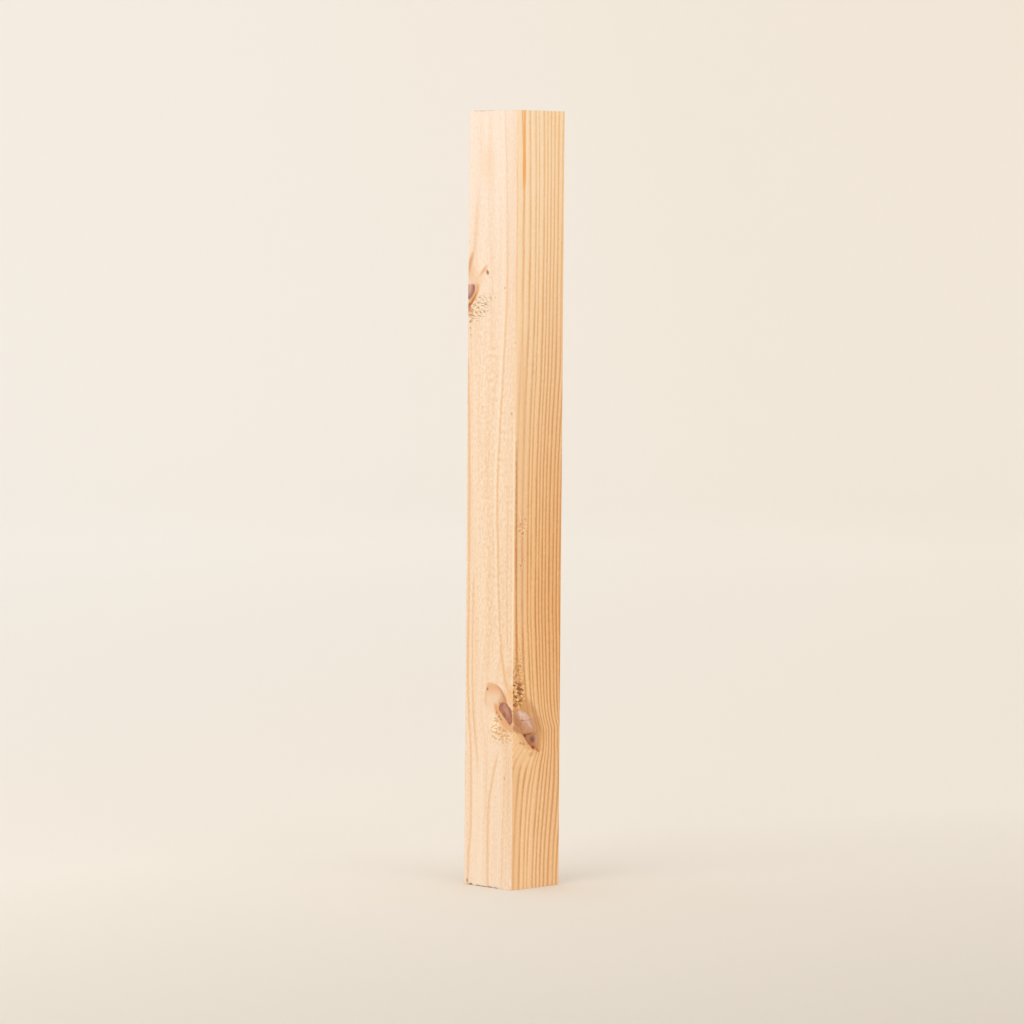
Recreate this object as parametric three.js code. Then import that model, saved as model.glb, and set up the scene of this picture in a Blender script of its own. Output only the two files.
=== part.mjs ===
// Corner trim: one length of planed softwood, milled to an L section that covers
// an outside corner. Millimetres, +Z up, standing on its lower sawn end.
// The two legs run along +X and +Y from the outer corner, which is at -X -Y.

import * as THREE from "three";

// Driving dimensions
const LEG = 38; // outer width of each leg
const THICKNESS = 12; // thickness of both legs
const LENGTH = 435; // from sawn end to sawn end
const OUTER_CORNER_RADIUS = 1.2; // eased outer corner, the edge that faces the room
const LEG_EDGE_RADIUS = 1.0; // eased front edge of each leg, away from the corner
const BACK_EDGE_RADIUS = 0.5; // broken edge where a leg's end meets its fixing face
const EDGE_STEPS = 6; // straight facets in each rounded edge

// The section's corners, counter-clockwise, each with the radius that eases it.
// The rebate's inside corner is left sharp, as the cutter leaves it.
function sectionCorners() {
  const low = -LEG / 2;
  const high = LEG / 2;
  const rebate = low + THICKNESS;
  return [
    { x: low, y: low, radius: OUTER_CORNER_RADIUS },
    { x: high, y: low, radius: LEG_EDGE_RADIUS },
    { x: high, y: rebate, radius: BACK_EDGE_RADIUS },
    { x: rebate, y: rebate, radius: 0 },
    { x: rebate, y: high, radius: BACK_EDGE_RADIUS },
    { x: low, y: high, radius: LEG_EDGE_RADIUS },
  ];
}

// A closed outline through the corners, with an arc of the stated radius at each.
function roundedOutline(corners) {
  const points = [];
  corners.forEach((corner, i) => {
    const here = new THREE.Vector2(corner.x, corner.y);
    if (corner.radius === 0) {
      points.push(here);
      return;
    }
    const previous = corners[(i + corners.length - 1) % corners.length];
    const next = corners[(i + 1) % corners.length];
    const incoming = new THREE.Vector2(previous.x, previous.y).sub(here).normalize();
    const outgoing = new THREE.Vector2(next.x, next.y).sub(here).normalize();
    const centre = here.clone().addScaledVector(incoming, corner.radius).addScaledVector(outgoing, corner.radius);
    for (let step = 0; step <= EDGE_STEPS; step += 1) {
      const turn = (step / EDGE_STEPS) * (Math.PI / 2);
      points.push(
        centre
          .clone()
          .addScaledVector(outgoing, -corner.radius * Math.cos(turn))
          .addScaledVector(incoming, -corner.radius * Math.sin(turn)),
      );
    }
  });
  return points;
}

function makeCornerTrim(material) {
  const section = new THREE.Shape(roundedOutline(sectionCorners()));
  const geometry = new THREE.ExtrudeGeometry(section, { depth: LENGTH, bevelEnabled: false, steps: 1 });
  const trim = new THREE.Mesh(geometry, material);
  trim.name = "corner_trim";
  return trim;
}

const pine = new THREE.MeshStandardMaterial({ color: 0xe8c08c, roughness: 0.62, metalness: 0 });

const cornerTrim = new THREE.Group();
cornerTrim.add(makeCornerTrim(pine));

export default cornerTrim;
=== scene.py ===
# %% [markdown]
# # A planed pine corner trim
#
# One length of knotty pine, milled to an L section that covers an outside corner. The two faces that
# meet at the outer corner are the ones that are seen, so this lesson spends its work there: a fine
# mesh with eased edges, sawn ends, proud knots and torn grain, and one solid wood material that
# draws the growth rings where the tree put them.

# %% The frame
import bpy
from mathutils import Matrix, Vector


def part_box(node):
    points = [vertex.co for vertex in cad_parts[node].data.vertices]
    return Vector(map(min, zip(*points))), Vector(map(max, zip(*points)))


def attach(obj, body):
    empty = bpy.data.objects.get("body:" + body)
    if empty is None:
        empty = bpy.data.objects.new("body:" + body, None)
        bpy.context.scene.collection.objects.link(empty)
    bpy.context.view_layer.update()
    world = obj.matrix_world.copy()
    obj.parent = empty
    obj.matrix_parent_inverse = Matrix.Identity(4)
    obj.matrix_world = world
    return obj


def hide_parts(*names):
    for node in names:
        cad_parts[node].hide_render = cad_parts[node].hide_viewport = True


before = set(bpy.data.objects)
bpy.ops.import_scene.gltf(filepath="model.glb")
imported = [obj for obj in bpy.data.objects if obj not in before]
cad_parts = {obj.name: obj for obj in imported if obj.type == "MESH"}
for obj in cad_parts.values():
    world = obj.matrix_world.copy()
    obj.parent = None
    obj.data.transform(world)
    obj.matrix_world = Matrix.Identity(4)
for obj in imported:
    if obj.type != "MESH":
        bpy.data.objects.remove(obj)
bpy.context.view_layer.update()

from math import cos, radians, sin

import bpy
import numpy as np
from mathutils import Matrix, Vector

MM = 0.001
lowest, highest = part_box("corner_trim")
LEG = highest.x - lowest.x
LENGTH = highest.z - lowest.z
THICKNESS = 12 * MM
print("leg", round(LEG / MM, 2), "length", round(LENGTH / MM, 2))

# %% [markdown]
# ## The camera
#
# The stick is seen from just above its own middle with a long lens, so its sides stay parallel.
# The camera stands off the outer corner and turns a little towards the leg along Y. It also leans
# by half a degree, as a hand-levelled tripod does.

# %% Camera values
AZIMUTH = -45.1  # degrees; 0 looks along +Y
ELEVATION = 3.36
ROLL = 0.44
DISTANCE = 2.618
LENS = 163.8
AIM_LEFT = 1.2 * MM  # the stick stands a little right of the middle and high in the frame
AIM_DOWN = 7.1 * MM

# %% Make the camera
back = Vector((sin(radians(AZIMUTH)) * cos(radians(ELEVATION)),
               -cos(radians(AZIMUTH)) * cos(radians(ELEVATION)),
               sin(radians(ELEVATION))))
right = Vector((cos(radians(AZIMUTH)), sin(radians(AZIMUTH)), 0))
up = back.cross(right)
aim = Vector((0, 0, LENGTH / 2)) - right * AIM_LEFT - up * AIM_DOWN
looking = Matrix((right, up, back)).transposed() @ Matrix.Rotation(radians(ROLL), 3, "Z")
camera_data = bpy.data.cameras.new("camera")
camera_data.lens = LENS
camera_data.sensor_width = 36
camera_data.clip_end = 50
camera = bpy.data.objects.new("camera", camera_data)
camera.matrix_world = Matrix.Translation(aim + back * DISTANCE) @ looking.to_4x4()
bpy.context.scene.collection.objects.link(camera)
bpy.context.scene.camera = camera
print("camera at", [round(v, 3) for v in camera.location])

# %% [markdown]
# ## The stick
#
# A real trim is sawn from a square and rebated by a second cutter. Here the square is a grid of
# small cells, the rebate's cells are deleted, and what is left is pushed up in stages. Between
# the stages the upright edges are cut into rows, closer together near the knots, because the
# relief there is finer than on the clear wood.

# %% Selecting by place
CELLS = 57  # cells across a leg: two thirds of a millimetre each, and 18 fill the thickness


def select_where(piece, kind, wanted):
    """Selects only the faces or edges of a piece for which wanted is true, and enters edit mode."""
    bpy.ops.object.mode_set(mode="EDIT")
    bpy.ops.mesh.select_mode(type="FACE" if kind == "polygons" else "EDGE")
    bpy.ops.mesh.select_all(action="DESELECT")
    bpy.ops.object.mode_set(mode="OBJECT")
    getattr(piece.data, kind).foreach_set("select", wanted)
    bpy.ops.object.mode_set(mode="EDIT")


def points_of(piece):
    """The vertices of a piece as an array, one row each, in metres."""
    flat = np.zeros(len(piece.data.vertices) * 3)
    piece.data.vertices.foreach_get("co", flat)
    return flat.reshape(-1, 3)


def middles_of_faces(piece):
    """The middle of each face, as an array."""
    flat = np.zeros(len(piece.data.polygons) * 3)
    piece.data.polygons.foreach_get("center", flat)
    return flat.reshape(-1, 3)


# %% A square of cells, less the rebate
bpy.ops.object.select_all(action="DESELECT")
bpy.ops.mesh.primitive_grid_add(x_subdivisions=CELLS, y_subdivisions=CELLS, size=LEG)
trim = bpy.context.object
trim.name = "planed_trim"
inner = lowest.x + THICKNESS
middles = middles_of_faces(trim)
select_where(trim, "polygons", (middles[:, 0] > inner) & (middles[:, 1] > inner))
bpy.ops.mesh.delete(type="FACE")
bpy.ops.object.mode_set(mode="OBJECT")
print("cells in the section", len(trim.data.polygons))

# %% Pushed up in stages
STAGES = [  # (top of the stage, rows in it), in millimetres from the lower end
    (3, 6), (72, 46), (106, 52), (140, 52), (230, 50), (316, 48), (352, 51), (432, 44), (435, 6),
]
bpy.ops.object.mode_set(mode="EDIT")
bpy.ops.mesh.select_mode(type="FACE")
bpy.ops.mesh.select_all(action="SELECT")
floor_of_stage = 0
for top, _ in STAGES:
    rise = (top - floor_of_stage) * MM
    bpy.ops.mesh.extrude_region_move(TRANSFORM_OT_translate={"value": (0, 0, rise)})
    floor_of_stage = top
bpy.ops.object.mode_set(mode="OBJECT")

# %% Cut into rows
floor_of_stage = 0
for top, rows in STAGES:
    points = points_of(trim)
    ends = np.zeros(len(trim.data.edges) * 2, int)
    trim.data.edges.foreach_get("vertices", ends)
    heights = points[ends.reshape(-1, 2), 2] / MM
    upright = (abs(heights.min(1) - floor_of_stage) < 0.01) & (abs(heights.max(1) - top) < 0.01)
    select_where(trim, "edges", upright)
    bpy.ops.mesh.subdivide(number_cuts=rows - 1)
    bpy.ops.object.mode_set(mode="OBJECT")
    floor_of_stage = top
bpy.ops.object.mode_set(mode="EDIT")
bpy.ops.mesh.select_all(action="SELECT")
bpy.ops.mesh.normals_make_consistent(inside=False)
bpy.ops.object.mode_set(mode="OBJECT")
print("faces in the stick", len(trim.data.polygons))

# %% [markdown]
# ## Eased edges
#
# A planed trim's edges are eased so they don't splinter. Each vertex within a radius of an edge
# moves onto the arc there. Bevel would also do it, but the cells are smaller than the radius.

# %% Move the edges' vertices onto arcs
TOUCH = 0.01 * MM  # nearer than this is on the skin
points = points_of(trim)


def ease(points, corner, inward, radius):
    """Rounds the upright edge at corner; inward gives the directions into the wood in x and y."""
    from_x = (points[:, 0] - corner[0]) * inward[0]
    from_y = (points[:, 1] - corner[1]) * inward[1]
    on_skin = abs(np.minimum(from_x, from_y)) < TOUCH
    near = on_skin & (np.maximum(from_x, from_y) < radius)
    around = (from_x - from_y)[near] / radius  # -1 to 1 round the edge
    angle = radians(45) * (1 - around)
    points[near, 0] = corner[0] + inward[0] * radius * (1 - np.sin(angle))
    points[near, 1] = corner[1] + inward[1] * radius * (1 - np.cos(angle))


EDGES = [  # (corner, into the wood, radius), in millimetres
    ((-19, -19), (1, 1), 0.8),
    ((19, -19), (-1, 1), 0.7),
    ((-19, 19), (1, -1), 0.7),
    ((19, -7), (-1, -1), 0.7),
    ((-7, 19), (-1, -1), 0.7),
]
for corner, inward, radius in EDGES:
    ease(points, Vector(corner) * MM, inward, radius * MM)

# %% [markdown]
# ## Relief
#
# The planer leaves three marks on this stick. Knots are harder than the wood round them, so they
# stand proud by a hair. Where the fibres dive round a knot the knives lift them, and they break off
# below the surface in short pits: torn grain. And the saw leaves its scratches on the two ends.
# Each is a sum of small soft hills and hollows, so they are vertex moves in code. The
# torn grain is also kept as an attribute, and the material darkens it.

# %% Where each vertex is
noise = np.random.default_rng(7)
HALF = 19  # millimetres from the middle of the stick to a seen face
SKIN = 0.9  # millimetres; what is less deep belongs to a face
from_left_face = points[:, 0] / MM + HALF
from_right_face = points[:, 1] / MM + HALF
height = points[:, 2] / MM
on_left = (from_left_face < SKIN) & (from_left_face < from_right_face)
on_right = (from_right_face < SKIN) & ~on_left
print("vertices on the seen faces", int(on_left.sum()), int(on_right.sum()))


def pits(across, here, count, draw_place, size, lean):
    """Short soft hollows on one face; size is (long, short) in millimetres, lean in degrees."""
    depth = np.zeros(len(height))
    for _ in range(count):
        place = draw_place()
        turn = radians(lean + noise.normal(0, 18))
        long, short = np.array(size) * noise.uniform(0.6, 1.4, 2)
        right_by, up_by = across - place[0], height - place[1]
        lengthways = (right_by * cos(turn) + up_by * sin(turn)) / long
        off = (up_by * cos(turn) - right_by * sin(turn)) / short
        one = np.exp(-(lengthways ** 2 + off ** 2)) * noise.uniform(0.45, 1)
        depth = np.maximum(depth, np.where(here, one, 0))
    return depth


# %% Torn grain by the main knot and below the small one
def above_knot():
    """By the corner on the right face, closer and darker towards the knot."""
    up_by = noise.power(2.2)
    return noise.uniform(0.6, 4 + 4.5 * up_by), 132 - 29 * up_by


def below_knot():
    """Left of the knot's foot on the left face."""
    return noise.normal(9.5, 3.6), noise.normal(89, 3.8)


def below_small_knot():
    """A fan under the small knot at the left face's edge."""
    reach = noise.uniform(0, 1)
    return 36 - 14 * reach, 319 + 11 * reach + noise.normal(0, 2.6)


torn = pits(from_left_face, on_right, 150, above_knot, (0.95, 0.42), -35)
torn = np.maximum(torn, 0.75 * pits(from_right_face, on_left, 90, below_knot, (0.55, 0.5), 30))
torn = np.maximum(torn, 0.8 * pits(from_right_face, on_left, 110, below_small_knot, (0.9, 0.26), -14))
print("most torn", round(float(torn.max()), 2))


# %% Proud knots, and the cracks by and across them
def hill(across, here, centre, half, lean):
    """A soft hill on one face, 1 at its middle and 0 beyond its half sizes."""
    turn = radians(lean)
    right_by, up_by = across - centre[0], height - centre[1]
    lengthways = (right_by * cos(turn) + up_by * sin(turn)) / half[0]
    off = (up_by * cos(turn) - right_by * sin(turn)) / half[1]
    return np.where(here, np.clip(1 - lengthways ** 2 - off ** 2, 0, 1), 0)


FACES = {"left": (from_right_face, on_left), "right": (from_left_face, on_right)}
PROUD = [  # (face, middle, half sizes, lean, height), in millimetres and degrees
    ("left", (5.3, 98.7), (8.3, 5.4), 54, 0.2), ("left", (14, 108), (9, 8), 55, 0.08),
    ("right", (11.5, 90.5), (16, 8), -54, 0.16), ("left", (37.6, 334.5), (6, 5.6), 0, 0.25),
]
CRACKS = [  # the same, with a depth
    ("left", (34.2, 329), (6.5, 0.8), -53, 0.4), ("right", (12.8, 82.0), (7, 0.8), -44, 0.3),
    ("right", (10.0, 94.8), (4.5, 0.45), 4, 0.2),
]
proud = sum(hill(*FACES[face], middle, half, lean) * rise for face, middle, half, lean, rise in PROUD)
crack = sum(hill(*FACES[face], middle, half, lean) * depth for face, middle, half, lean, depth in CRACKS)

# %% The outer edge, the sawn ends and a chip
def nicks(across, count, low, high, long, deep):
    """A few soft dents along a line, as a depth in millimetres."""
    depth = np.zeros(len(across))
    for _ in range(count):
        middle, half = noise.uniform(low, high), long * noise.uniform(0.5, 1.5)
        depth = np.maximum(depth, deep * noise.uniform(0.3, 1) * np.exp(-((across - middle) / half) ** 2))
    return depth


SAW_CENTRE = (-160, 50)  # the middle of the saw's arcs, in from the left and the right face
at_outer_edge = (from_right_face > 2 * HALF - 0.8) & on_left
edge_wear = np.where(at_outer_edge, nicks(height, 34, 105, 320, 1.2, 0.35), 0)
arc_radius = np.hypot(from_left_face - SAW_CENTRE[0], from_right_face - SAW_CENTRE[1])
saw_marks = 0.03 * (1 + np.sin(arc_radius * 2.9)) + 0.02 * (1 + np.sin(arc_radius * 7.3))
bottom_wear = saw_marks + np.where(from_left_face < SKIN, nicks(from_right_face, 9, 12, 35, 0.9, 0.5), 0)
chip = np.where(from_left_face < 5, 1.1 * (from_right_face - 36.2) - 0.3 * from_left_face, 0)
bottom_wear = np.maximum(bottom_wear, chip)
top_wear = saw_marks + np.where(from_left_face < SKIN, nicks(from_right_face, 6, 12, 34, 1.2, 0.4), 0)
print("deepest wear", round(float(bottom_wear.max()), 2), "mm")

# %% Push the faces in and out
PITS_ON_LEFT, PITS_ON_RIGHT = 0.13, 0.22  # how deep the torn grain is, in millimetres
relief = proud - crack - np.where(on_left, PITS_ON_LEFT, PITS_ON_RIGHT) * torn  # outwards
skin_x = np.where(on_left, -1.0, 0.0)
skin_y = np.where(on_right, -1.0, 0.0)
points[:, 0] += skin_x * relief * MM
points[:, 1] += (skin_y * relief - edge_wear) * MM
points[:, 2] = np.clip(points[:, 2], bottom_wear * MM, LENGTH - top_wear * MM)
trim.data.vertices.foreach_set("co", points.ravel())
trim.data.update()
attribute = trim.data.attributes.new("torn_grain", "FLOAT", "POINT")
attribute.data.foreach_set("value", torn.astype(np.float32))
bpy.ops.object.select_all(action="DESELECT")
trim.select_set(True)
bpy.context.view_layer.objects.active = trim
bpy.ops.object.shade_smooth_by_angle(angle=radians(40))
print("relief from", round(float(relief.min()), 2), "to", round(float(relief.max()), 2), "mm")

# %% [markdown]
# ## The wood material
#
# Wood is a solid texture: the same rings run through every face. The material is therefore worked
# out in the stick's own millimetres, from Object coordinates. The ring lines cross the right face
# almost square on, every three millimetres or so, and the left face shows the side of one or two
# broad rings. A few small helpers keep the node tree readable.

# %% Helpers for nodes
wood = bpy.data.materials.new("planed_pine")
wood.use_nodes = True
tree = wood.node_tree
tree.nodes.clear()


def node(kind, **settings):
    """A new node of the material, with its settings."""
    made = tree.nodes.new(kind)
    for name, value in settings.items():
        setattr(made, name, value)
    return made


def feed(socket, value):
    """Gives a socket a number, a colour or another node's output."""
    if isinstance(value, bpy.types.NodeSocket):
        tree.links.new(value, socket)
    else:
        socket.default_value = value


def sums(operation, first, *others):
    """Arithmetic on two or more values, or on one."""
    total = first
    for other in others or (0.0,):
        made = node("ShaderNodeMath", operation=operation)
        feed(made.inputs[0], total)
        feed(made.inputs[1], other)
        total = made.outputs[0]
    return total


def plus(*values):
    """The sum of several values."""
    return sums("ADD", *values)


def times(*values):
    """The product of several values."""
    return sums("MULTIPLY", *values)


def minus(value, less):
    """The difference of two values."""
    return sums("SUBTRACT", value, less)


def most(*values):
    """The largest of several values."""
    return sums("MAXIMUM", *values)


def least(*values):
    """The smallest of several values."""
    return sums("MINIMUM", *values)


def scaled(value, low, high, to_low=0.0, to_high=1.0, smooth=True):
    """A value brought from one range to another, and held at its ends."""
    made = node("ShaderNodeMapRange", interpolation_type="SMOOTHSTEP" if smooth else "LINEAR")
    for name, number in (("Value", value), ("From Min", low), ("From Max", high),
                         ("To Min", to_low), ("To Max", to_high)):
        feed(made.inputs[name], number)
    return made.outputs["Result"]


def curve(value, stations, straight=False):
    """A curve through given stations: stations are (value, result) pairs, in rising order of value."""
    places, results = zip(*stations)
    low, high = min(results), max(results)
    made = node("ShaderNodeFloatCurve")
    line = made.mapping.curves[0]
    for _ in stations[1:-1]:
        line.points.new(0.5, 0.5)
    for point, (place, result) in zip(line.points, stations):
        point.location = ((place - places[0]) / (places[-1] - places[0]), (result - low) / (high - low))
        point.handle_type = "VECTOR" if straight else "AUTO"
    made.mapping.update()
    feed(made.inputs["Value"], scaled(value, places[0], places[-1], smooth=False))
    return scaled(made.outputs[0], 0, 1, low, high, smooth=False)


def line_at(value, centre, width):
    """1 on a line, fading to 0 at width from it."""
    return scaled(sums("ABSOLUTE", minus(value, centre)), width, 0)


def within(value, low, high, soft):
    """1 between two values, with soft ends."""
    return times(scaled(value, low - soft, low + soft), scaled(value, high + soft, high - soft))


def join(x, y, z):
    """Three values as one vector."""
    made = node("ShaderNodeCombineXYZ")
    for socket, value in zip(made.inputs, (x, y, z)):
        feed(socket, value)
    return made.outputs[0]


def oval(place, centre, half, lean=0.0):
    """How far a place on a face is from the middle of a leaning oval: 0 there and 1 on its rim."""
    turn, (over, up_to) = radians(lean), place
    steps = []
    for by_over, by_up, size in ((cos(turn), sin(turn), half[0]), (-sin(turn), cos(turn), half[1])):
        start = -(centre[0] * by_over + centre[1] * by_up) / size
        steps.append(plus(times(over, by_over / size), times(up_to, by_up / size), start))
    return sums("SQRT", plus(times(steps[0], steps[0]), times(steps[1], steps[1])))


def grain(place, size, detail=2.0, rough=0.5, turn=(0, 0, 0)):
    """Smooth noise from 0 to 1, its spots the given size in millimetres along x, y and z, and turned."""
    stretch = node("ShaderNodeMapping", vector_type="TEXTURE")
    feed(stretch.inputs["Vector"], place)
    stretch.inputs["Scale"].default_value = size
    made = node("ShaderNodeTexNoise")
    feed(made.inputs["Vector"], stretch.outputs[0])
    made.inputs["Scale"].default_value = 1
    made.inputs["Detail"].default_value = detail
    made.inputs["Roughness"].default_value = rough
    stretch.inputs["Rotation"].default_value = turn
    return made.outputs["Fac"]


def mixed(under, over, share, how="MIX"):
    """One colour laid over another by a share from 0 to 1."""
    made = node("ShaderNodeMix", data_type="RGBA", blend_type=how, clamp_factor=True)
    feed(made.inputs[0], share)
    feed(made.inputs[6], under)
    feed(made.inputs[7], over)
    return made.outputs[2]


def laid(under, colour, *shares):
    """A colour laid over another by the product of several shares."""
    return mixed(under, colour, times(*shares) if len(shares) > 1 else shares[0])


def paint(red, green, blue):
    """A colour from the 0 to 255 values that a paint chart gives."""
    def linear(value):
        value /= 255
        return value / 12.92 if value < 0.04045 else ((value + 0.055) / 1.055) ** 2.4
    return (linear(red), linear(green), linear(blue), 1)


# %% The stick's own millimetres
in_mm = node("ShaderNodeMapping", vector_type="POINT")
feed(in_mm.inputs["Vector"], node("ShaderNodeTexCoord").outputs["Object"])
in_mm.inputs["Scale"].default_value = (1000, 1000, 1000)
in_mm.inputs["Location"].default_value = (HALF, HALF, 0)
solid = in_mm.outputs[0]
split = node("ShaderNodeSeparateXYZ")
feed(split.inputs[0], solid)
x = split.outputs[0]  # in from the left face, and across the right one
y = split.outputs[1]  # in from the right face, and across the left one
z = split.outputs[2]  # up from the lower end
on_left_face = times(scaled(x, 2.6, 1.4), scaled(minus(x, y), 0.15, -0.15))
on_right_face = times(scaled(y, 2.6, 1.4), scaled(minus(y, x), 0.15, -0.15))
left_map, right_map = (y, z), (x, z)
wobble = times(minus(grain(solid, (3, 3, 3), 3, 0.6), 0.5), 0.6)  # makes drawn rims uneven


def blot(place, centre, half, lean=0.0, soft=0.3):
    """1 in an uneven oval, with a soft rim."""
    return scaled(plus(oval(place, centre, half, lean), wobble), 1 + soft, 1 - soft)


def left_blot(centre, half, lean=0.0, soft=0.3):
    """An uneven oval on the left face alone."""
    return times(blot(left_map, centre, half, lean, soft), on_left_face)


def right_blot(centre, half, lean=0.0, soft=0.3):
    """An uneven oval on the right face alone."""
    return times(blot(right_map, centre, half, lean, soft), on_right_face)


# %% [markdown]
# ## Growth rings
#
# Three ring lines on the right face are followed down the stick: by the corner, 11 mm from it and
# 31 mm from it. They drift left below the small knot and bulge right round the main one. Below that
# knot they run into its underside. All other lines keep their place between these three, so the
# drawing of a few curves bends every ring.

# %% Where the rings run
NEAR, FAR = 11.4, 31.4
corner_line = curve(z, [(0, -1.0), (30, 0.2), (57, 2.5), (65.5, 3.4), (71, 5.0), (75.2, 8.1), (80, 12.7),
                        (86, 19), (94, 27), (97, 6.2), (103, 4.6), (112, 3.2), (137, 1.0), (216, 0),
                        (255, 0.6), (334, 3.4), (435, 3.0)])
near_line = curve(z, [(0, -1.6), (18, -1.4), (38, -0.2), (56, 1.7), (63, 3.3), (68.4, 4.9), (74, 7.9),
                      (78, 10.0), (82, 11.0), (87, 10.6), (93, 8.8), (98, 6.2), (103, 4.6), (112, 3.2),
                      (125, 2.0), (137, 1.2), (157, 0.2), (216, 0), (255, 0.8), (295, 2.6), (334, 4.0),
                      (394, 4.1), (435, 3.2)])
far_line = curve(z, [(0, 1.2), (18, 1.8), (38, 3.2), (58, 4.8), (70, 5.4), (78, 5.9), (87, 5.9), (92, 4.4),
                     (97.5, 2.7), (103, 1.9), (111, 1.4), (137, 0.7), (176, 0), (216, 0.3), (255, 1.7),
                     (275, 2.9), (305, 4.4), (334, 4.8), (435, 5.0)])
knot_edge = curve(z, [(77, 20.9), (78.1, 17.7), (79.8, 15.0), (82.6, 11.8), (86.2, 8.6), (87.4, 7.0),
                      (89.2, 3.8), (93.1, 1.1), (96.1, 0.3)])
under_knot = times(scaled(z, 73, 78), scaled(z, 96, 95), scaled(minus(x, knot_edge), 1.5, 0.5))
from_corner = times(scaled(x, 2.2, NEAR, smooth=False), minus(1.0, under_knot))
outward = sums("DIVIDE", minus(x, NEAR), FAR - NEAR)
bend = plus(near_line, times(minus(far_line, near_line), most(outward, 0.0)))
bend = plus(times(corner_line, minus(1.0, from_corner)), times(bend, from_corner))
bend = times(bend, scaled(y, 4, 24, 1.0, 0.25))  # the bulge is the knot's, so it fades into the leg
sway = times(minus(grain(solid, (24, 24, 60)), 0.5), 1.1)
across_rings = plus(minus(x, bend), sway, times(y, 0.045))
RING_LINES = [-32, -28, -24.5, -21, -18, -14.5, -11, -7.5, -3, 2.2, 7.0, 11.4, 13.6, 17.6, 20.0, 22.6, 25.2,
              28.2, 31.4, 34.1, 36.6, 39.2, 42.0, 45.0]
ring = curve(across_rings, [(line, number) for number, line in enumerate(RING_LINES)], straight=True)
age = sums("FRACT", ring)
late = most(scaled(age, 0.56, 0.96), scaled(age, 0.20, 0.02))
each_ring = node("ShaderNodeTexWhiteNoise", noise_dimensions="1D")
feed(each_ring.inputs["W"], sums("FLOOR", plus(ring, 0.5)))
late = times(late, scaled(each_ring.outputs["Value"], 0, 1, 0.74, 1.12, smooth=False))
print("ring lines", len(RING_LINES))

# %% Fibres, which follow the rings
fibre_place = join(across_rings, y, z)
long_fibres = minus(grain(fibre_place, (0.85, 0.85, 34), 2, 0.6), 0.5)
short_fibres = minus(grain(fibre_place, (0.8, 0.8, 2.4), 3, 0.7), 0.5)
hair_fibres = grain(fibre_place, (0.3, 0.3, 12), 2, 0.6)
patches = scaled(grain(fibre_place, (2.2, 9, 22), 2), 0.3, 0.7, 0.62, 1.14)

# %% [markdown]
# The early wood pales towards the top of the stick, partly its own tone and partly painted light from
# above. The lines lose their edge below the main knot, where the wood is calm, and in a strip beside
# the corner higher up. The corner itself is as pale as the left face at the top, partly its own tone
# and partly painted light, and duller at the foot. Away from the corner the face darkens, partly its
# own tone and partly painted shade.

# %% Colours of the right face, by height
EARLY_HIGH = paint(253, 229, 197)
EARLY_MID = paint(245, 200, 145)
LATE_HIGH = paint(241, 195, 141)
LATE_MID = paint(209, 139, 75)
PALE = paint(254, 226, 190)
# Paler towards the top: partly the wood's own tone, partly painted light from above.
top_light_and_paleness = curve(z, [(0, 0.36), (60, 0.22), (110, 0.1), (150, 0.0), (220, 0.16), (300, 0.5), (380, 0.85),
                     (435, 1.0)])
early = laid(EARLY_MID, EARLY_HIGH, top_light_and_paleness)
latewood = laid(LATE_MID, LATE_HIGH, top_light_and_paleness)
calm = blot(right_map, (7, 80), (13, 9), -35, 0.5)
quiet = times(scaled(x, 10, 5), within(z, 215, 335, 25))
ring_tone = times(late, patches, minus(1.0, times(most(times(calm, 0.7), times(quiet, 0.5)), on_right_face)))
ring_tone = times(ring_tone, scaled(x, 10, 30, 0.95, 1.1))
# The term in x darkens the face away from the corner: partly its own tone, partly painted shade.
right_tone = plus(ring_tone, times(scaled(x, 4, 36), 0.26), times(long_fibres, 0.5),
                  times(short_fibres, 1.15), 0.0)
edge_grain = laid(early, latewood, right_tone)
edge_grain = laid(edge_grain, PALE, right_tone, -1.6)
# Paler by the corner, most at the top: partly the wood's own tone, partly painted light.
edge_grain = laid(edge_grain, PALE, scaled(x, 7, 0), on_right_face,
                  curve(z, [(0, 0.3), (60, 0.2), (110, 0.0), (250, 0.1), (435, 0.5)]))
CORNER_DULL = paint(224, 170, 114)
edge_grain = laid(edge_grain, CORNER_DULL, scaled(x, 9, 2), on_right_face, scaled(z, 82, 60), 0.4)

# %% [markdown]
# ## The left face
#
# The left face is cut along the rings, so it shows broad pale bands and a few soft lines that
# wander. Each line is given as its distance from the corner at a few heights. Between them
# the wood is mottled, most in the middle of the stick, where the planer has left it woolly.

# %% Fibres of the left face
near_left = curve(z, [(0, 1.5), (30, 1.0), (50, -1.0), (70, -1.0), (90, 3.0), (108, 6.0), (130, 3.0),
                      (157, 1.0), (216, 2.5), (275, 0.5), (334, -2.0), (380, -2.0), (435, 0.0)])
far_left = curve(z, [(0, 0.5), (60, -0.5), (97, 0.6), (117, -1.0), (157, 0.0), (216, 1.0), (255, 2.0),
                     (320, 2.5), (345, 4.0), (380, 1.5), (435, -1.0)])
left_shift = plus(near_left, times(minus(far_left, near_left), scaled(y, 16, 34, smooth=False)))
left_place = join(x, minus(y, times(left_shift, scaled(y, 0, 6))), z)
left_broad = grain(left_place, (5, 4.5, 120), 1, 0.4)
left_long = minus(grain(left_place, (1.1, 1.1, 36), 2, 0.6), 0.5)
left_short = minus(grain(left_place, (1.0, 1.0, 2.2), 3, 0.7), 0.5)

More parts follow.
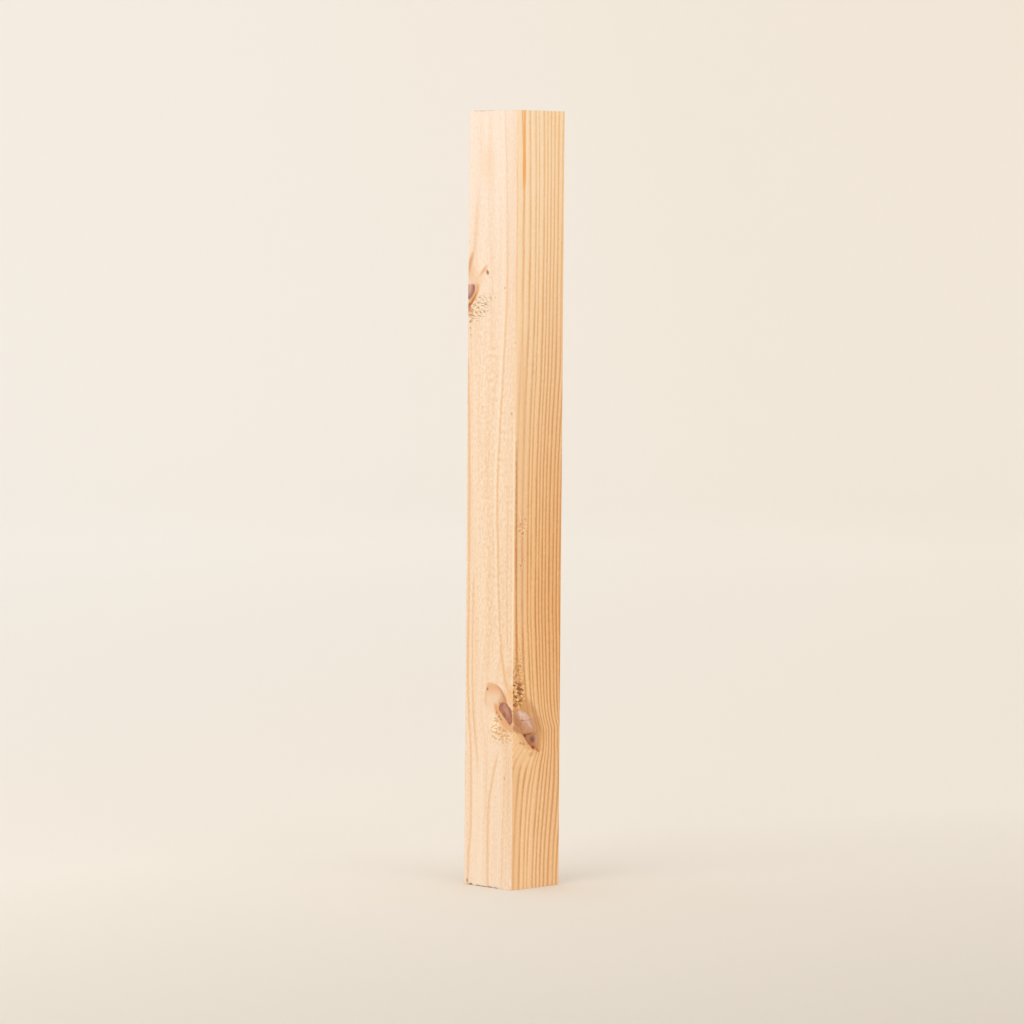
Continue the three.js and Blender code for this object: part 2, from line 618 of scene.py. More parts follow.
# %% Soft lines, drawn one by one
LEFT_LINES = {  # name: (stations up the stick, half width, strength, (from, to height))
    "corner line": ([(104, -2), (107.7, 0.5), (110.3, 2.4), (113.8, 4.8), (117.7, 6.3), (122.7, 7.3),
                     (126, 8.0), (137, 9.8), (157, 11.4), (190, 12.5), (216, 13.4), (255, 11.8), (295, 9),
                     (334, 7), (364, 6.8), (400, 7.8), (435, 9.6)], 1.35, 0.72, (106, 436)),
    "short line": ([(120, 3.5), (160, 5), (190, 5.2), (235, 4)], 1.1, 0.45, (135, 225)),
    "middle line": ([(110, 22), (137, 20), (160, 19.2), (190, 19.6), (236, 20.2), (280, 16), (310, 14)],
                    2.4, 0.2, (125, 300)),
    "thin line": ([(60, 26.5), (73.8, 28), (83.9, 29.5), (93.9, 30.8), (104, 31.6), (124.3, 32.4),
                   (157, 32.2), (190, 31.5), (255, 30), (295, 27.6)], 1.3, 0.75, (66, 172)),
    "edge line": ([(0, 35), (18, 34.2), (40, 32.5), (73.4, 33), (97, 34.7), (124, 35.7), (157, 35.5),
                   (216, 35.6), (255, 36.2), (300, 37.6)], 1.5, 0.85, (-5, 296)),
    "foot line": ([(0, 18.9), (27, 19.2), (45, 18.6), (59, 16.1), (69, 13.6), (76, 11.4), (82, 10)], 1.7,
                  0.9, (-5, 74)),
    "inner foot line": ([(0, 7.6), (30, 7.4), (50, 6.8), (70, 5)], 1.3, 0.3, (-5, 66)),
    "curve to the small knot": ([(343, 38.2), (347.5, 37), (349, 36.2), (352.8, 34.6), (355.8, 33.3),
                                 (359.5, 32.7), (365, 32.2), (374, 31.4), (389, 29.7), (405, 27.9),
                                 (435, 25)], 2.4, 0.6, (346, 384)),
    "faint line": ([(300, 18.5), (340, 19), (390, 21.5), (435, 20.5)], 1.6, 0.18, (310, 436)),
}
line_tone = 0.0
line_paths = {}
for name, (stations, width, strength, (bottom, top)) in LEFT_LINES.items():
    line_paths[name] = curve(z, stations)
    one = line_at(y, line_paths[name], width)
    line_tone = most(line_tone, times(one, within(z, bottom, top, 8), strength))
line_tone = times(line_tone, plus(1.0, times(left_short, 0.8)))
print("lines drawn on the left face", len(LEFT_LINES))

# %% Colours of the left face, by height
FLAT_HIGH = paint(246, 232, 218)
FLAT_MID = paint(246, 220, 192)
LINE_HIGH = paint(242, 211, 182)
LINE_MID = paint(234, 189, 140)
CREAM = paint(250, 234, 210)
SOFT_TAN = paint(244, 208, 170)
# Paler towards the top: partly the wood's own tone, partly painted light from above.
left_top_light_and_paleness = curve(z, [(0, 0.65), (60, 0.22), (150, 0.1), (220, 0.15), (300, 0.3), (380, 0.75),
                          (435, 1.0)])
flat = laid(FLAT_MID, FLAT_HIGH, left_top_light_and_paleness)
flat_line = laid(LINE_MID, LINE_HIGH, left_top_light_and_paleness)
woolly_zone = plus(0.25, times(within(y, 6, 29, 5), within(z, 125, 318, 25)))
woolly = minus(grain(left_place, (1.9, 1.9, 2.6), 3, 0.75), 0.5)
# The term in y darkens the face towards the corner: partly its own tone, partly painted shade, with the
# light from the left.
left_tone = plus(line_tone, times(scaled(left_broad, 0.35, 0.75), 0.25), times(scaled(y, 12, 0), 0.28),
                 times(left_long, 0.8), times(left_short, 2.2), times(woolly, woolly_zone, 1.9), 0.12)
flat_grain = laid(flat, flat_line, left_tone)
flat_grain = laid(flat_grain, CREAM, left_tone, -1.4)
flat_grain = laid(flat_grain, CREAM, within(y, 22.5, 31, 2), scaled(z, 95, 55), 0.35)
beside_line = line_at(y, plus(line_paths["corner line"], 2.0), 1.3)
flat_grain = laid(flat_grain, CREAM, beside_line, within(z, 150, 330, 20), 0.45)
flat_grain = laid(flat_grain, SOFT_TAN, blot(left_map, (22.5, 405), (5, 10), 0, 0.9), 0.4)
# A painted highlight along the eased corner, where it turns to the light.
painted_corner_highlight = times(scaled(y, 1.5, 0.5), within(z, 118, 262, 14))
flat_grain = laid(flat_grain, CREAM, painted_corner_highlight, 0.7)
wood_colour = laid(edge_grain, flat_grain, on_left_face)

# %% [markdown]
# The renderer has room for 255 numbers at once in one material, and it works out everything it
# can as soon as it can. The drawing of the knots would then be ready long before the wood under
# it, and overflow that room. So the places that the knots are drawn with wait for the wood: a
# millionth of its tone is added to them. From here on, each colour is laid over all before it.

# %% Places for what is drawn over the wood
A_MILLIONTH = 0.000001
waiting = times(plus(left_tone, right_tone), A_MILLIONTH)
x, y, z = plus(x, waiting), plus(y, waiting), plus(z, waiting)
left_map, right_map = (y, z), (x, z)
on_left_face, on_right_face = plus(on_left_face, waiting), plus(on_right_face, waiting)
layers = [wood_colour]


def lay(colour, *shares):
    """Lays a colour over all that is painted so far, by the product of several shares."""
    layers.append(laid(layers[-1], colour, *shares))


# %% [markdown]
# ## Torn grain
#
# The pits of torn grain are in the mesh. Their colour is finer than the mesh: dark flecks where
# the fibres have gone, and pale ones where they stand up. Noise that is stretched, leaned and cut
# off at a level gives both, and soft blots keep them where the knives met the knots. A few chips
# by the corner, higher up, are made in the same way.

# %% Flecks
def flecks(turn, size, level):
    """Short flecks, turned about an axis; a higher level leaves fewer."""
    spots = grain(solid, size, 1, 0.5, [radians(angle) for angle in turn])
    return scaled(spots, level, level + 0.12)


TORN_GROUND = paint(222, 160, 92)
TORN_DARK = paint(138, 70, 30)
TORN_BROWN = paint(200, 144, 92)
TORN_OCHRE = paint(214, 148, 78)
TORN_OLIVE = paint(160, 122, 72)
TORN_PALE = paint(255, 224, 160)
TORN_CREAM = paint(254, 232, 194)
DULL_PINK = paint(236, 196, 158)
CHIP_BROWN = paint(190, 120, 62)
torn_value = node("ShaderNodeAttribute", attribute_name="torn_grain").outputs["Fac"]
reach = curve(z, [(99, 9.0), (104, 12.0), (112, 14.0), (122, 13.0), (138, 9)])
above = times(curve(z, [(100, 1), (112, 1), (117, 0.5), (126, 0.3), (138, 0)]), scaled(z, 99.5, 101),
              scaled(x, reach, 3), on_right_face)
beside = left_blot((9.5, 89), (9, 7), 15, 0.35)
fan = left_blot((28.5, 325), (10.5, 5.5), -38, 0.35)
lay(TORN_BROWN, right_blot((9, 103.5), (7, 4.5), -40, 0.5), 0.6)
lay(TORN_GROUND, above, 0.7)
lay(TORN_PALE, flecks((0, 40, 0), (2.6, 1.0, 1.5), 0.52), above)
lay(TORN_OCHRE, left_blot((7.0, 88.8), (3.8, 5.5), 10, 0.6), 0.4)
lay(TORN_CREAM, left_blot((14.2, 92.5), (4.2, 4.8), 0, 0.6), 0.45)
lay(TORN_CREAM, flecks((30, 0, 0), (1.0, 1.8, 1.3), 0.5), beside, 0.55)
lay(TORN_CREAM, flecks((-14, 0, 0), (1.0, 3.0, 0.8), 0.5), fan, 0.6)
dark_flecks = times(flecks((0, 40, 90), (1.0, 3.2, 1.9), 0.5), scaled(above, 0.05, 0.75))
dark_flecks = most(dark_flecks, times(scaled(torn_value, 0.45, 0.8), on_right_face,
                                      scaled(z, 120, 108, 0.3, 1.0)))
lay(TORN_DARK, dark_flecks, 0.9)
dull_strip = times(within(x, 2.5, 9.5, 1.5), within(z, 150, 300, 20), on_right_face)
lay(DULL_PINK, dull_strip, 0.35)
chipped = times(most(blot(right_map, (6.6, 204), (3.3, 6.5), 0, 0.5),
                     blot(right_map, (6.4, 183), (2.6, 3.2), 0, 0.5)), on_right_face)
lay(TORN_CREAM, flecks((0, 30, 0), (1.0, 1.6, 1.4), 0.52), chipped, 0.6)
chips = times(flecks((0, -35, 90), (1.0, 2.0, 1.2), 0.51), chipped)
chips = most(chips, times(flecks((0, 40, 90), (1.0, 1.6, 1.0), 0.55), within(x, 1, 9, 1.5),
                          within(z, 114, 138, 6), on_right_face, 0.8))
lay(CHIP_BROWN, chips, 0.65)
ochre_flecks = most(times(flecks((30, 90, 0), (1.2, 2.4, 1.3), 0.5), beside),
                    times(scaled(torn_value, 0.5, 0.9), on_left_face, scaled(z, 200, 100), 0.7))
lay(TORN_OCHRE, ochre_flecks, 0.75)
olive_flecks = most(times(flecks((-14, 0, 180), (1.0, 2.8, 0.62), 0.51), fan),
                    times(scaled(torn_value, 0.55, 0.95), on_left_face, scaled(z, 200, 300), 0.7))
lay(TORN_OLIVE, olive_flecks, 0.8)

# %% [markdown]
# ## Knots
#
# A knot is the foot of a branch, cut across. The main one lies across the corner, so each face
# cuts it its own way: a dark oval on the left with a pale collar above it, and on the right a long
# lens with a resin-lined point. The small one is half off the left face's edge.

# %% The main knot's collar on the left face
COLLAR_PALE = paint(240, 204, 172)
COLLAR_TAN = paint(230, 176, 126)
COLLAR_RIM = paint(186, 118, 80)
BAND_TAN = paint(238, 188, 138)
COLLAR_BROWN = paint(216, 158, 108)
CORNER_ORANGE = paint(242, 190, 136)
arch_right = curve(z, [(98, 1.5), (104.5, 4.2), (106.4, 5.0), (108, 5.7), (110.3, 7.1), (112.5, 9.1),
                       (114, 11.4), (115.1, 13.8), (115.8, 17.5)])
arch_left = curve(z, [(92, 15), (97, 20.5), (101.4, 22.0), (104.7, 22.3), (108.1, 22.1), (111.6, 21.2),
                      (115, 20.5), (115.8, 17.6)])
soft_y = plus(y, times(wobble, 2.0))
from_arch_right, from_arch_left = minus(soft_y, arch_right), minus(arch_left, soft_y)
inside_arch = least(from_arch_right, from_arch_left)
collar = times(scaled(inside_arch, -0.6, 1.6), within(z, 97, 115.4, 1.3), on_left_face)
corner_path = curve(z, [(104, 0.2), (110.3, 2.6), (113.8, 4.8), (117.7, 6.5), (122.7, 7.6), (126, 8.3),
                        (137, 9.9), (150, 11.2)])
corner_band = times(line_at(y, corner_path, 2.3), within(z, 107, 136, 5), on_left_face)
lay(BAND_TAN, corner_band, 0.6)
lay(COLLAR_PALE, collar, scaled(z, 96, 104), 0.75)
lay(COLLAR_TAN, collar, scaled(z, 106.5, 113.5), 0.85)
lay(COLLAR_TAN, line_at(from_arch_left, 0.6, 1.6), within(z, 103, 114, 3), on_left_face, 0.55)
rim_depth = times(scaled(from_arch_right, 5.0, 0.4), scaled(z, 117, 106), collar)
lay(COLLAR_RIM, rim_depth, 0.65)
above_oval = left_blot((7.6, 106.2), (3.4, 2.8), -50, 0.7)
lay(COLLAR_BROWN, above_oval, 0.7)
by_corner = left_blot((2.0, 107.8), (2.6, 6.0), 0, 0.6)
lay(CORNER_ORANGE, by_corner, 0.6)
rim_line = times(line_at(from_arch_right, 0.9, 1.2), within(z, 98, 114, 1.5), on_left_face)
lay(COLLAR_RIM, rim_line, 0.5)

# %% The main knot on the left face
KNOT_BROWN = paint(182, 122, 98)
KNOT_DARK = paint(156, 98, 80)
KNOT_PINK = paint(208, 150, 128)
KNOT_HEART = paint(128, 92, 66)
HALO = paint(228, 158, 94)
STAIN_AND_FOOT_SHADE = paint(134, 84, 48)
GLOW = paint(220, 158, 106)
mottle = grain(solid, (1.4, 1.4, 1.4), 3)
oval_left = plus(oval(left_map, (5.3, 98.7), (7.3, 4.9), 54), times(wobble, 0.8))
crescent_path = curve(z, [(94.5, 7.4), (95.4, 8.6), (96.5, 9.7), (97.8, 10.8), (100, 12.3), (103.3, 13.4),
                          (107, 14.0)])
crescent = times(line_at(y, crescent_path, 2.4), within(z, 95.6, 103.5, 1.8), on_left_face)
lay(HALO, crescent, 0.85)
lay(HALO, line_at(oval_left, 1.14, 0.22), on_left_face, scaled(y, 3, 8), scaled(z, 103, 98), 0.45)
lower_glow = left_blot((4.0, 92.3), (6.0, 1.9), 36, 0.5)
lay(GLOW, lower_glow, 0.8)
round_oval = left_blot((6.3, 97.0), (8.8, 5.2), 52, 0.35)
lay(COLLAR_TAN, round_oval, 0.75)
lay(HALO, crescent, 0.5)
knot_tone = laid(KNOT_BROWN, KNOT_DARK, scaled(oval_left, 0.55, 0.98))
knot_tone = laid(knot_tone, KNOT_PINK, blot(left_map, (5.2, 101.2), (3.2, 1.5), 60, 0.7), 0.8)
knot_tone = laid(knot_tone, KNOT_DARK, scaled(mottle, 0.5, 0.7), 0.6)
knot_tone = laid(knot_tone, KNOT_HEART, blot(left_map, (6.6, 97.6), (1.4, 1.9), 20, 0.6), 0.7)
cut_foot = scaled(minus(z, times(y, 0.95)), 89.6, 91.0)  # the oval is straight along its lower left
lay(knot_tone, scaled(oval_left, 1.1, 0.86), on_left_face, scaled(y, 0.1, 0.6), cut_foot)
SPECKS = [  # (across the left face, height), half sizes, lean, strength
    ((20.0, 111.7), (0.8, 1.0), 20, 0.7), ((12.7, 99.0), (0.8, 0.8), 0, 0.5),
    ((10.8, 96.8), (0.9, 0.7), 0, 0.6), ((9.3, 95.4), (1.0, 0.6), 30, 0.7),
    ((13.4, 95.6), (1.4, 0.6), 0, 0.4), ((35.9, 317.2), (0.9, 0.8), 0, 0.55),
    ((35.6, 313.6), (0.6, 1.0), 0, 0.4), ((35.4, 309.9), (0.6, 0.8), 0, 0.35),
    ((8.6, 336.3), (0.8, 0.7), 0, 0.4), ((19.5, 330.6), (0.5, 1.6), -10, 0.4),
    ((16.2, 331.0), (0.6, 0.7), 0, 0.3), ((0.3, 306.0), (0.5, 0.8), 0, 0.3),
    ((2.6, 266.5), (0.8, 0.9), 0, 0.4), ((6.1, 62.5), (0.5, 1.6), 0, 0.3),
    # Specks below 3 mm high lie along the foot: partly tear-out, partly painted shade where the stick meets
    # the floor.
    ((26.0, 269.5), (0.6, 1.2), 0, 0.25), ((35.2, 2.2), (0.9, 1.3), 0, 0.55),
    ((32.4, 0.4), (1.6, 0.7), 0, 0.9), ((26.4, 0.2), (1.9, 0.5), 0, 0.7),
    ((17.0, 0.1), (2.8, 0.6), 0, 0.9), ((27.8, 434.8), (3.4, 0.4), 0, 0.35),
    ((20.5, 434.9), (3.0, 0.3), 0, 0.3),
]
specks = 0.0
for centre, half, lean, strength in SPECKS:
    specks = most(specks, times(scaled(oval(left_map, centre, half, lean), 1.3, 0.4), strength))
# Brown stains, and along the foot partly painted shade.
lay(STAIN_AND_FOOT_SHADE, specks, on_left_face)
print("specks", len(SPECKS))

# %% The main knot on the right face
LENS_WHITE = paint(240, 208, 191)
LENS_GREY = paint(212, 164, 144)
LENS_TAN = paint(208, 154, 102)
LENS_BROWN = paint(168, 108, 68)
ROUND_LENS = paint(212, 150, 90)
LENS_RUST = paint(188, 126, 84)
TIP_RED = paint(184, 122, 84)
TIP_PALE = paint(200, 150, 122)
TIP_GREY = paint(116, 80, 64)
RESIN_DARK = paint(108, 54, 28)
RESIN_RED = paint(186, 96, 40)
MARK_BROWN = paint(180, 118, 66)
LID_BROWN = paint(194, 134, 100)
right_side = curve(z, [(77, 20.8), (78.1, 21.6), (81.1, 22.1), (84.9, 21.8), (88.7, 21.0), (91.8, 19.4),
                       (95.3, 17.2), (97.1, 14.6), (99.5, 11.6), (100.8, 8.4), (102, 4.5)])
soft_x = plus(x, times(wobble, 1.6))
inside_left, inside_right = minus(soft_x, knot_edge), minus(right_side, soft_x)
lens_edge = least(scaled(inside_left, -0.5, 0.7),
                  scaled(inside_right, -1.2, curve(z, [(77, 1.5), (88, 4.5), (101, 1.6)])))
lens = times(lens_edge, within(z, 77.2, 101.2, 1.2), on_right_face)
lens_tone = laid(LENS_TAN, LENS_BROWN, scaled(inside_right, 3.2, 0.4), scaled(z, 84, 90), 0.8)
lens_tone = laid(lens_tone, LENS_BROWN, scaled(mottle, 0.42, 0.66), 0.6)
lens_tone = laid(lens_tone, LENS_GREY, blot(right_map, (10.4, 94.6), (8.0, 3.8), -42, 0.55),
                 plus(0.95, times(mottle, -0.3)))
lens_tone = laid(lens_tone, LENS_WHITE, blot(right_map, (8.0, 97.6), (4.4, 2.1), -30, 0.8), 0.85)
lens_tone = laid(lens_tone, LENS_WHITE, blot(right_map, (13.2, 92.6), (2.6, 0.9), -60, 0.7), 0.5)
lens_streaks = flecks((0, 48, 0), (4.0, 2.0, 0.6), 0.48)
lens_tone = laid(lens_tone, LENS_BROWN, lens_streaks, 0.3)
lens_left = blot(right_map, (3.8, 94.0), (5.4, 2.3), -58, 0.9)
lens_tone = laid(lens_tone, LENS_RUST, lens_left, plus(0.3, mottle))
check = times(line_at(z, plus(94.8, times(sums("ABSOLUTE", minus(x, 10.5)), 0.08)), 0.45),
              within(x, 6.0, 14.5, 1))
lens_tone = laid(lens_tone, LENS_BROWN, check, 0.45)
lens_tone = laid(lens_tone, KNOT_DARK, blot(right_map, (7.4, 94.9), (0.9, 0.6), 0, 0.6), 0.6)
lens_tone = laid(lens_tone, TIP_RED, scaled(z, 88.6, 86.8), scaled(x, 20, 15))
lens_tone = laid(lens_tone, TIP_PALE, blot(right_map, (19, 83.4), (2.0, 2.6), 0, 0.5), 0.8)
lens_tone = laid(lens_tone, LENS_BROWN, line_at(x, 20.8, 1.0), within(z, 80, 90, 2), 0.7)
lens_tone = laid(lens_tone, TIP_GREY, blot(right_map, (15.6, 83.8), (1.9, 1.6), -30, 0.7), 0.9)
lay(ROUND_LENS, right_blot((13, 91), (16, 9.5), -55, 0.2), 0.5)
lay(LENS_BROWN, right_blot((19.2, 95.5), (9.5, 1.8), -66, 0.5), 0.35)
lay(lens_tone, lens)
dark_edge = times(line_at(inside_left, 0.3, 0.9), within(z, 79, 87.2, 1.0))
dark_top = times(line_at(z, plus(87.0, times(minus(x, 12.0), 0.06)), 0.7), within(x, 8.6, 14.2, 0.8))
dark_spot = blot(right_map, (9.6, 86.4), (1.3, 0.9), -20, 0.3)
resin = most(times(dark_edge, 0.6), times(dark_top, 0.8), dark_spot)
lay(RESIN_DARK, resin, on_right_face, 0.85)
resin_glow = most(blot(right_map, (16.2, 79.4), (1.6, 1.2), -30, 0.4),
                  times(blot(right_map, (19.9, 77.5), (1.8, 0.8), -30, 0.6), 0.8),
                  times(blot(right_map, (13.2, 81.6), (1.2, 1.0), 0, 0.5), 0.6))
lay(RESIN_RED, resin_glow, on_right_face, 0.85)
lay(RESIN_DARK, right_blot((16.2, 79.3), (1.0, 0.6), -30, 0.4), 0.8)
eyelid = right_blot((2.4, 90.4), (3.4, 1.6), -36, 0.5)
lay(LID_BROWN, eyelid, 0.85)
lid_line = times(line_at(plus(z, times(x, 0.72)), 93.8, 0.7), within(x, 0.4, 6.0, 0.6), on_right_face)
lay(HALO, lid_line, 0.5)
soft_marks = most(blot(right_map, (8.6, 81.5), (0.8, 0.7), 0, 0.4),
                  blot(right_map, (6.2, 82.3), (0.8, 0.7), 0, 0.4),
                  times(blot(right_map, (14.5, 75.5), (1.6, 1.2), 0, 0.5), 0.6))
lay(MARK_BROWN, soft_marks, on_right_face, 0.65)

# %% The small knot and the pin knot
SMALL_RIM = paint(158, 108, 98)
SMALL_PINK = paint(208, 160, 144)
TAN = paint(236, 190, 148)
ORANGE = paint(230, 166, 106)
CREASE = paint(166, 92, 46)
PIN_BROWN = paint(160, 96, 56)
WEDGE_RED = paint(208, 130, 72)
STREAK_BROWN = paint(218, 154, 108)
small = plus(oval(left_map, (37.6, 336.0), (5.4, 6.6)), times(wobble, 0.4))
tan_patch = most(times(blot(left_map, (37.5, 345), (5.5, 6.5), 0, 0.7), 0.7),
                 times(blot(left_map, (32, 340), (6, 4), -20, 0.8), 0.5))
lay(TAN, tan_patch, on_left_face)
edge_streak = times(line_at(y,
                            curve(z, [(340, 38.3), (347.6, 36.9), (350.6, 36.0), (355, 34.6), (360, 33.6)]),
                            2.2), within(z, 344.5, 355, 3), on_left_face)
lay(STREAK_BROWN, edge_streak, 0.85)
lay(ORANGE, line_at(small, 1.25, 0.32), on_left_face, scaled(z, 341, 336), 0.75)
small_tone = laid(SMALL_RIM, SMALL_PINK, scaled(small, 0.85, 0.35))
lay(small_tone, scaled(small, 1.08, 0.9), scaled(z, 338.9, 337.3), on_left_face)
crease_path = curve(z, [(320, 38.8), (323, 38.0), (325.9, 36.7), (327.4, 35.3), (329.7, 33.6),
                        (332.3, 31.6), (334.6, 30.3), (338, 29.8)])
crease = times(line_at(y, crease_path, 1.5), scaled(z, 336, 328), scaled(z, 321.5, 324))
lay(ORANGE, line_at(y, plus(crease_path, 1.6), 1.6), within(z, 323, 334, 1.5), on_left_face, 0.85)
lay(ORANGE, line_at(y, crease_path, 1.9), within(z, 321, 338, 1.5), on_left_face, 0.8)
lay(CREASE, crease, on_left_face, 0.9)
lay(RESIN_DARK, left_blot((37.2, 326.2), (1.6, 0.8), -50, 0.4), 0.7)
wedge = most(blot(left_map, (36.0, 324.6), (2.6, 1.2), 60, 0.6),
             blot(left_map, (35.2, 320.8), (2.4, 0.7), 4, 0.6),
             times(blot(left_map, (35.4, 322.8), (3.0, 0.7), -12, 0.6), 0.6))
lay(WEDGE_RED, wedge, on_left_face, 0.75)
pin_tail = left_blot((25.4, 346.0), (3.8, 1.1), -46, 0.6)
lay(ORANGE, pin_tail, 0.7)
pin = left_blot((22.4, 344.8), (1.35, 0.95), 62, 0.5)
lay(PIN_BROWN, pin, 0.9)

# %% The resin streak, and the stain by the corner
STREAK = paint(242, 176, 98)
CORNER_BROWN = paint(176, 108, 52)
streak_path = curve(z, [(190, 6.9), (230, 7.0), (300, 6.0), (360, 5.6), (388, 5.9), (402, 5.9), (415, 5.9),
                        (435, 6.4)])
streak_width = curve(z, [(190, 0.8), (384, 0.8), (392, 1.3), (402, 1.9), (412, 1.5), (435, 1.0)])
streak = times(scaled(sums("ABSOLUTE", minus(x, streak_path)), streak_width, times(streak_width, 0.3)),
               curve(z, [(190, 0.0), (230, 0.35), (386, 0.5), (400, 1.0), (435, 0.85)]))
second = times(line_at(x, curve(z, [(408, 5.6), (416, 5.0), (435, 3.9)]), 1.0), scaled(z, 408, 414), 0.75)
lay(STREAK, most(streak, second), on_right_face)
stain_path = curve(z, [(120, 2.6), (160, 2.2), (200, 1.9), (240, 1.5), (262, 1.2)])
stain_strength = curve(z, [(118, 0.0), (132, 0.6), (196, 0.6), (209, 1.0), (230, 1.0), (252, 0.0)])
corner_stain = times(line_at(x, stain_path, 1.2), stain_strength, plus(0.75, times(short_fibres, 2.2)))
lay(CORNER_BROWN, corner_stain, on_right_face, 0.75)

# %% [markdown]
# ## The sawn ends
#
# End grain drinks more light than a planed face, so it is darker and more orange. The rings show on
# it as they are, and the saw's teeth leave shallow arcs across them.

# %% End grain
facing = node("ShaderNodeSeparateXYZ")
feed(facing.inputs[0], node("ShaderNodeTexCoord").outputs["Normal"])
on_end = scaled(sums("ABSOLUTE", facing.outputs[2]), 0.6, 0.8)
END_EARLY = paint(236, 194, 146)
END_LATE = paint(196, 134, 82)
pores = scaled(grain(solid, (0.5, 0.5, 0.5), 2, 0.6), 0.5, 0.75)
arc = oval((x, y), SAW_CENTRE, (1, 1))
teeth = node("ShaderNodeTexNoise", noise_dimensions="1D")
feed(teeth.inputs["W"], times(arc, 1.2))
scratches = teeth.outputs["Fac"]
end_tone = plus(times(late, 0.8), times(pores, 0.25), times(minus(scratches, 0.5), 0.6), 0.05)
end_grain = laid(END_EARLY, END_LATE, end_tone)
lay(end_grain, on_end)
print("layers of colour", len(layers))

# %% [markdown]
# ## Surface
#
# Planed pine is matt with a faint sheen. The fibres and the hard latewood stand up by a few
# hundredths of a millimetre. That is too fine for the mesh, so it is bump.

# %% Finish the shader
FUZZ = 0.12 * MM  # how high the fibres stand
height_map = plus(times(late, 0.3), times(hair_fibres, 0.4), times(woolly, woolly_zone, 0.8),
                  times(scratches, on_end, 0.6))
bump = node("ShaderNodeBump")
feed(bump.inputs["Height"], height_map)
bump.inputs["Distance"].default_value = FUZZ
bump.inputs["Strength"].default_value = 0.6
shader = node("ShaderNodeBsdfPrincipled")
feed(shader.inputs["Base Color"], layers[-1])
feed(shader.inputs["Normal"], bump.outputs[0])
shader.inputs["Roughness"].default_value = 0.6
shader.inputs["Specular IOR Level"].default_value = 0.35
output = node("ShaderNodeOutputMaterial")
feed(output.inputs["Surface"], shader.outputs[0])
trim.data.materials.clear()
trim.data.materials.append(wood)
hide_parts("corner_trim")
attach(trim, "root")
print("nodes in the wood", len(tree.nodes))

# %% [markdown]
# ## The studio
#
# A pale paper bowl stands round the stick: a floor, one large curve and a low wall on every side,
# so no horizon shows from anywhere. It is a cylinder without its lid, with its bottom edge
# bevelled wide. Light and shade are painted into the paper: it is a shade lighter away from the
# stick, a shade darker in front of it and a shade darker and warmer to its right, as the
# photographed ground is.

# %% The paper bowl
BOWL_RADIUS, BOWL_HEIGHT, BOWL_CURVE = 6.0, 3.0, 2.2
bpy.ops.object.select_all(action="DESELECT")
bpy.ops.mesh.primitive_cylinder_add(vertices=128, radius=BOWL_RADIUS, depth=BOWL_HEIGHT,
                                    location=(0, 0, BOWL_HEIGHT / 2))
bowl = bpy.context.object
bowl.name = "paper_bowl"
bpy.ops.object.transform_apply(location=True)
middles = middles_of_faces(bowl)
select_where(bowl, "polygons", middles[:, 2] > BOWL_HEIGHT - 0.01)
bpy.ops.mesh.delete(type="FACE")
bpy.ops.object.mode_set(mode="OBJECT")
ends = np.zeros(len(bowl.data.edges) * 2, int)
bowl.data.edges.foreach_get("vertices", ends)
select_where(bowl, "edges", points_of(bowl)[ends.reshape(-1, 2), 2].max(1) < 0.01)
bpy.ops.mesh.bevel(offset=BOWL_CURVE, segments=24)
bpy.ops.mesh.select_all(action="SELECT")
bpy.ops.mesh.normals_make_consistent(inside=True)
bpy.ops.object.mode_set(mode="OBJECT")
bpy.ops.object.shade_smooth()

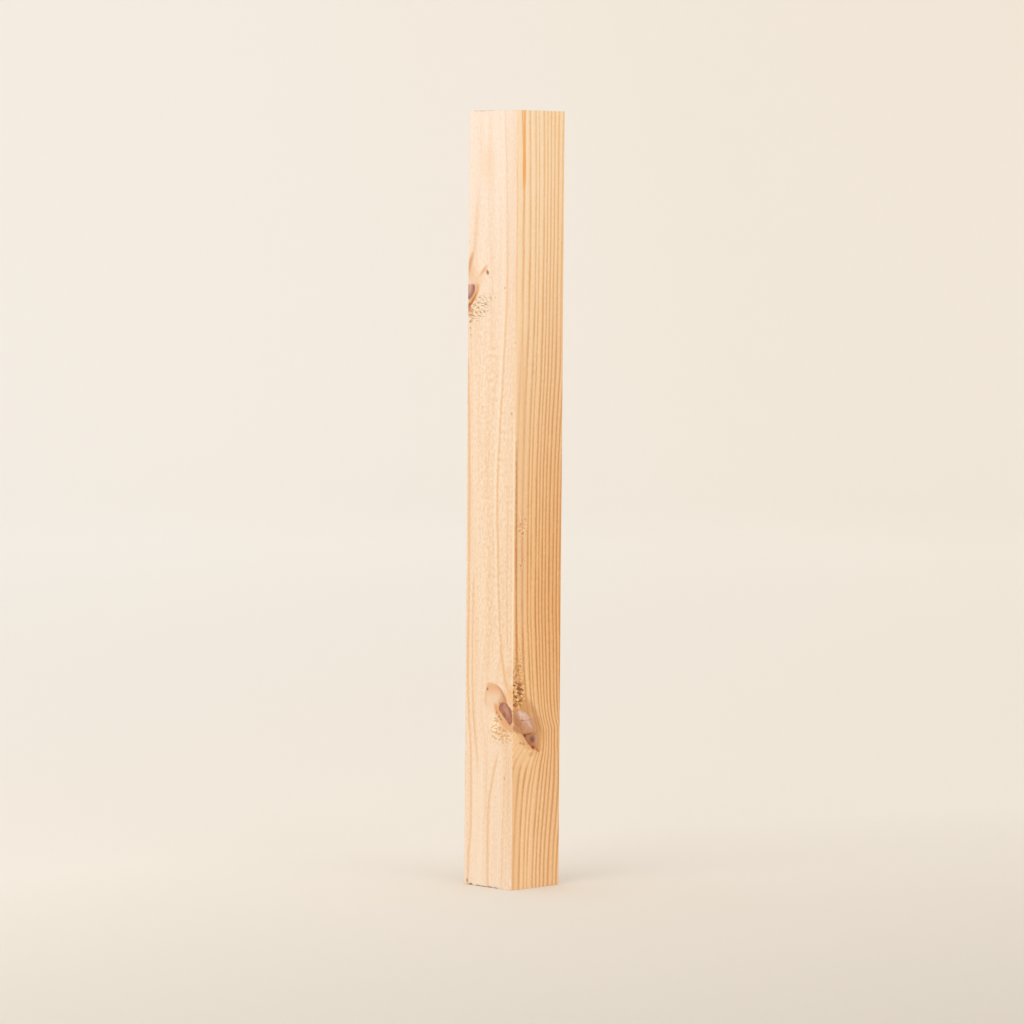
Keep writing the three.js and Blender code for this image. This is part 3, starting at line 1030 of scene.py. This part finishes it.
# %% Its paper
paper = bpy.data.materials.new("warm_paper")
paper.use_nodes = True
tree = paper.node_tree
paper_shader = tree.nodes["Principled BSDF"]
PAPER_FRONT_SHADE = paint(206, 197, 184)
PAPER_NEAR = paint(238, 231, 221)
PAPER_FAR = paint(251, 246, 239)
RIGHT_SHADE_WARM = paint(252, 249, 244)
ground = node("ShaderNodeSeparateXYZ")
feed(ground.inputs[0], node("ShaderNodeTexCoord").outputs["Object"])
over, along = ground.outputs[0], ground.outputs[1]
away = sums("SQRT", plus(times(over, over), times(along, along)))
to_front = plus(times(over, back.x), times(along, back.y))
to_right = plus(times(over, right.x), times(along, right.y))
# Painted light and shade: lighter away from the stick, darker and warmer to its right, darker in front.
paper_with_painted_light = mixed(PAPER_NEAR, PAPER_FAR, scaled(away, 0.2, 2.9, smooth=False))
paper_with_painted_light = mixed(paper_with_painted_light, RIGHT_SHADE_WARM, scaled(to_right, -0.8, 0.8), how="MULTIPLY")
painted_front_shade = times(scaled(plus(to_front, times(to_right, 0.6)), -0.2, 0.75, smooth=False),
                 scaled(away, 2.6, 1.2))
paper_with_painted_light = mixed(paper_with_painted_light, PAPER_FRONT_SHADE, painted_front_shade)
feed(paper_shader.inputs["Base Color"], paper_with_painted_light)
paper_shader.inputs["Roughness"].default_value = 0.9
paper_shader.inputs["Specular IOR Level"].default_value = 0.1
bowl.data.materials.append(paper)


# %% Soft light
def soft_light(name, azimuth, elevation, distance, size, power):
    """A square white area light that looks at the stick's middle."""
    lamp = bpy.data.lights.new(name, "AREA")
    lamp.shape = "SQUARE"
    lamp.size = size
    lamp.energy = power
    toward = Vector((sin(radians(azimuth)) * cos(radians(elevation)),
                     -cos(radians(azimuth)) * cos(radians(elevation)), sin(radians(elevation))))
    made = bpy.data.objects.new(name, lamp)
    made.location = Vector((0, 0, LENGTH / 2)) + toward * distance
    made.rotation_euler = toward.to_track_quat("Z", "Y").to_euler()
    bpy.context.scene.collection.objects.link(made)


LAMPS = [  # (name, degrees round from the camera, elevation, distance, size, watts)
    ("key", -38, 32, 2.4, 1.6, 13),
    ("fill", 45, 20, 3.0, 2.2, 12),
]
for name, turn, elevation, distance, size, power in LAMPS:
    soft_light(name, AZIMUTH + turn, elevation, distance, size, power)
SKY = 0.94
world = bpy.data.worlds.new("studio")
world.use_nodes = True
sky = world.node_tree.nodes["Background"]
sky.inputs["Color"].default_value = (1, 1, 1, 1)
sky.inputs["Strength"].default_value = SKY
bpy.context.scene.world = world
bpy.context.scene.view_settings.view_transform = "Standard"
